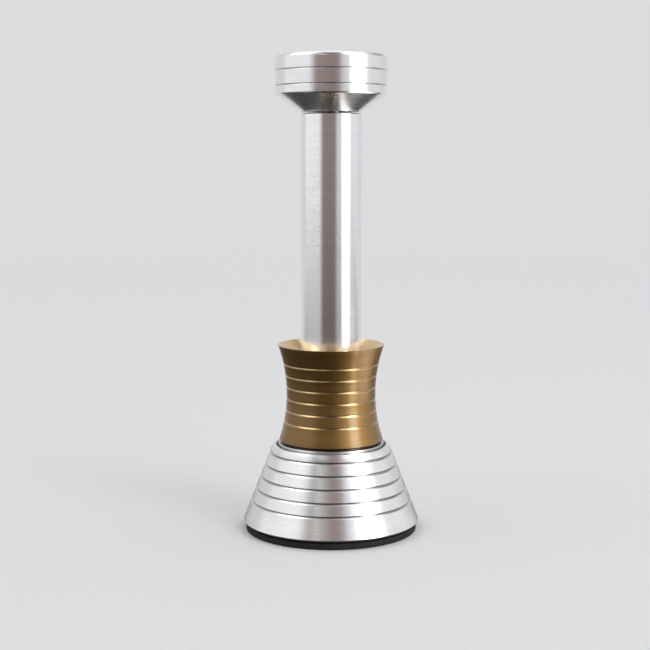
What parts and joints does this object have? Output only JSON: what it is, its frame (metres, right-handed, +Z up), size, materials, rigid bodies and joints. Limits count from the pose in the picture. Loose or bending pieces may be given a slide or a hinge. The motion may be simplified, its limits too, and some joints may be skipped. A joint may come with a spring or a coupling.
{
  "type": "magnetic slow-fall desk toy",
  "caption": "Upright round post on a grooved cone base with a knob on top; a waisted ring-magnet collar slides slowly down the post by eddy-current drag and turns freely round it.",
  "frame": {"origin": "centre of the foot pad's underside, on the surface the toy stands on", "axes": "+Z up along the post; the shape is round about Z, so X and Y are free"},
  "size_m": [0.035, 0.035, 0.0934],
  "materials": {
    "foot_pad": "matt black rubber",
    "base": "fine turned, satin",
    "shaft": "polished",
    "knob": "fine turned, satin",
    "collar_shell": "gold anodised over fine turning",
    "end_ring": "bare, fine turned",
    "magnet": "nickel plated",
    "pole_spacer": "ground mild steel",
    "screw": "stainless"
  },
  "bodies": {
    "stand": {"foot_pad": "foot_pad", "base_cone": "base", "base_screw": "screw", "shaft": "shaft", "knob_stud": "screw", "knob": "knob"},
    "magnet_stack": {"lower_magnet": "magnet", "pole_spacer": "pole_spacer", "upper_magnet": "magnet"},
    "collar": {"collar_end_ring": "end_ring", "collar_shell": "collar_shell"}
  },
  "joints": [
    {"name": "collar_slide", "type": "slide", "parent": "stand", "child": "magnet_stack", "axis": [0, 0, 1], "range_m": [0, 0.048]},
    {"name": "collar_spin", "type": "hinge", "parent": "magnet_stack", "child": "collar", "pos_m": [0, 0, 0.0164], "axis": [0, 0, 1], "continuous": true}
  ]
}
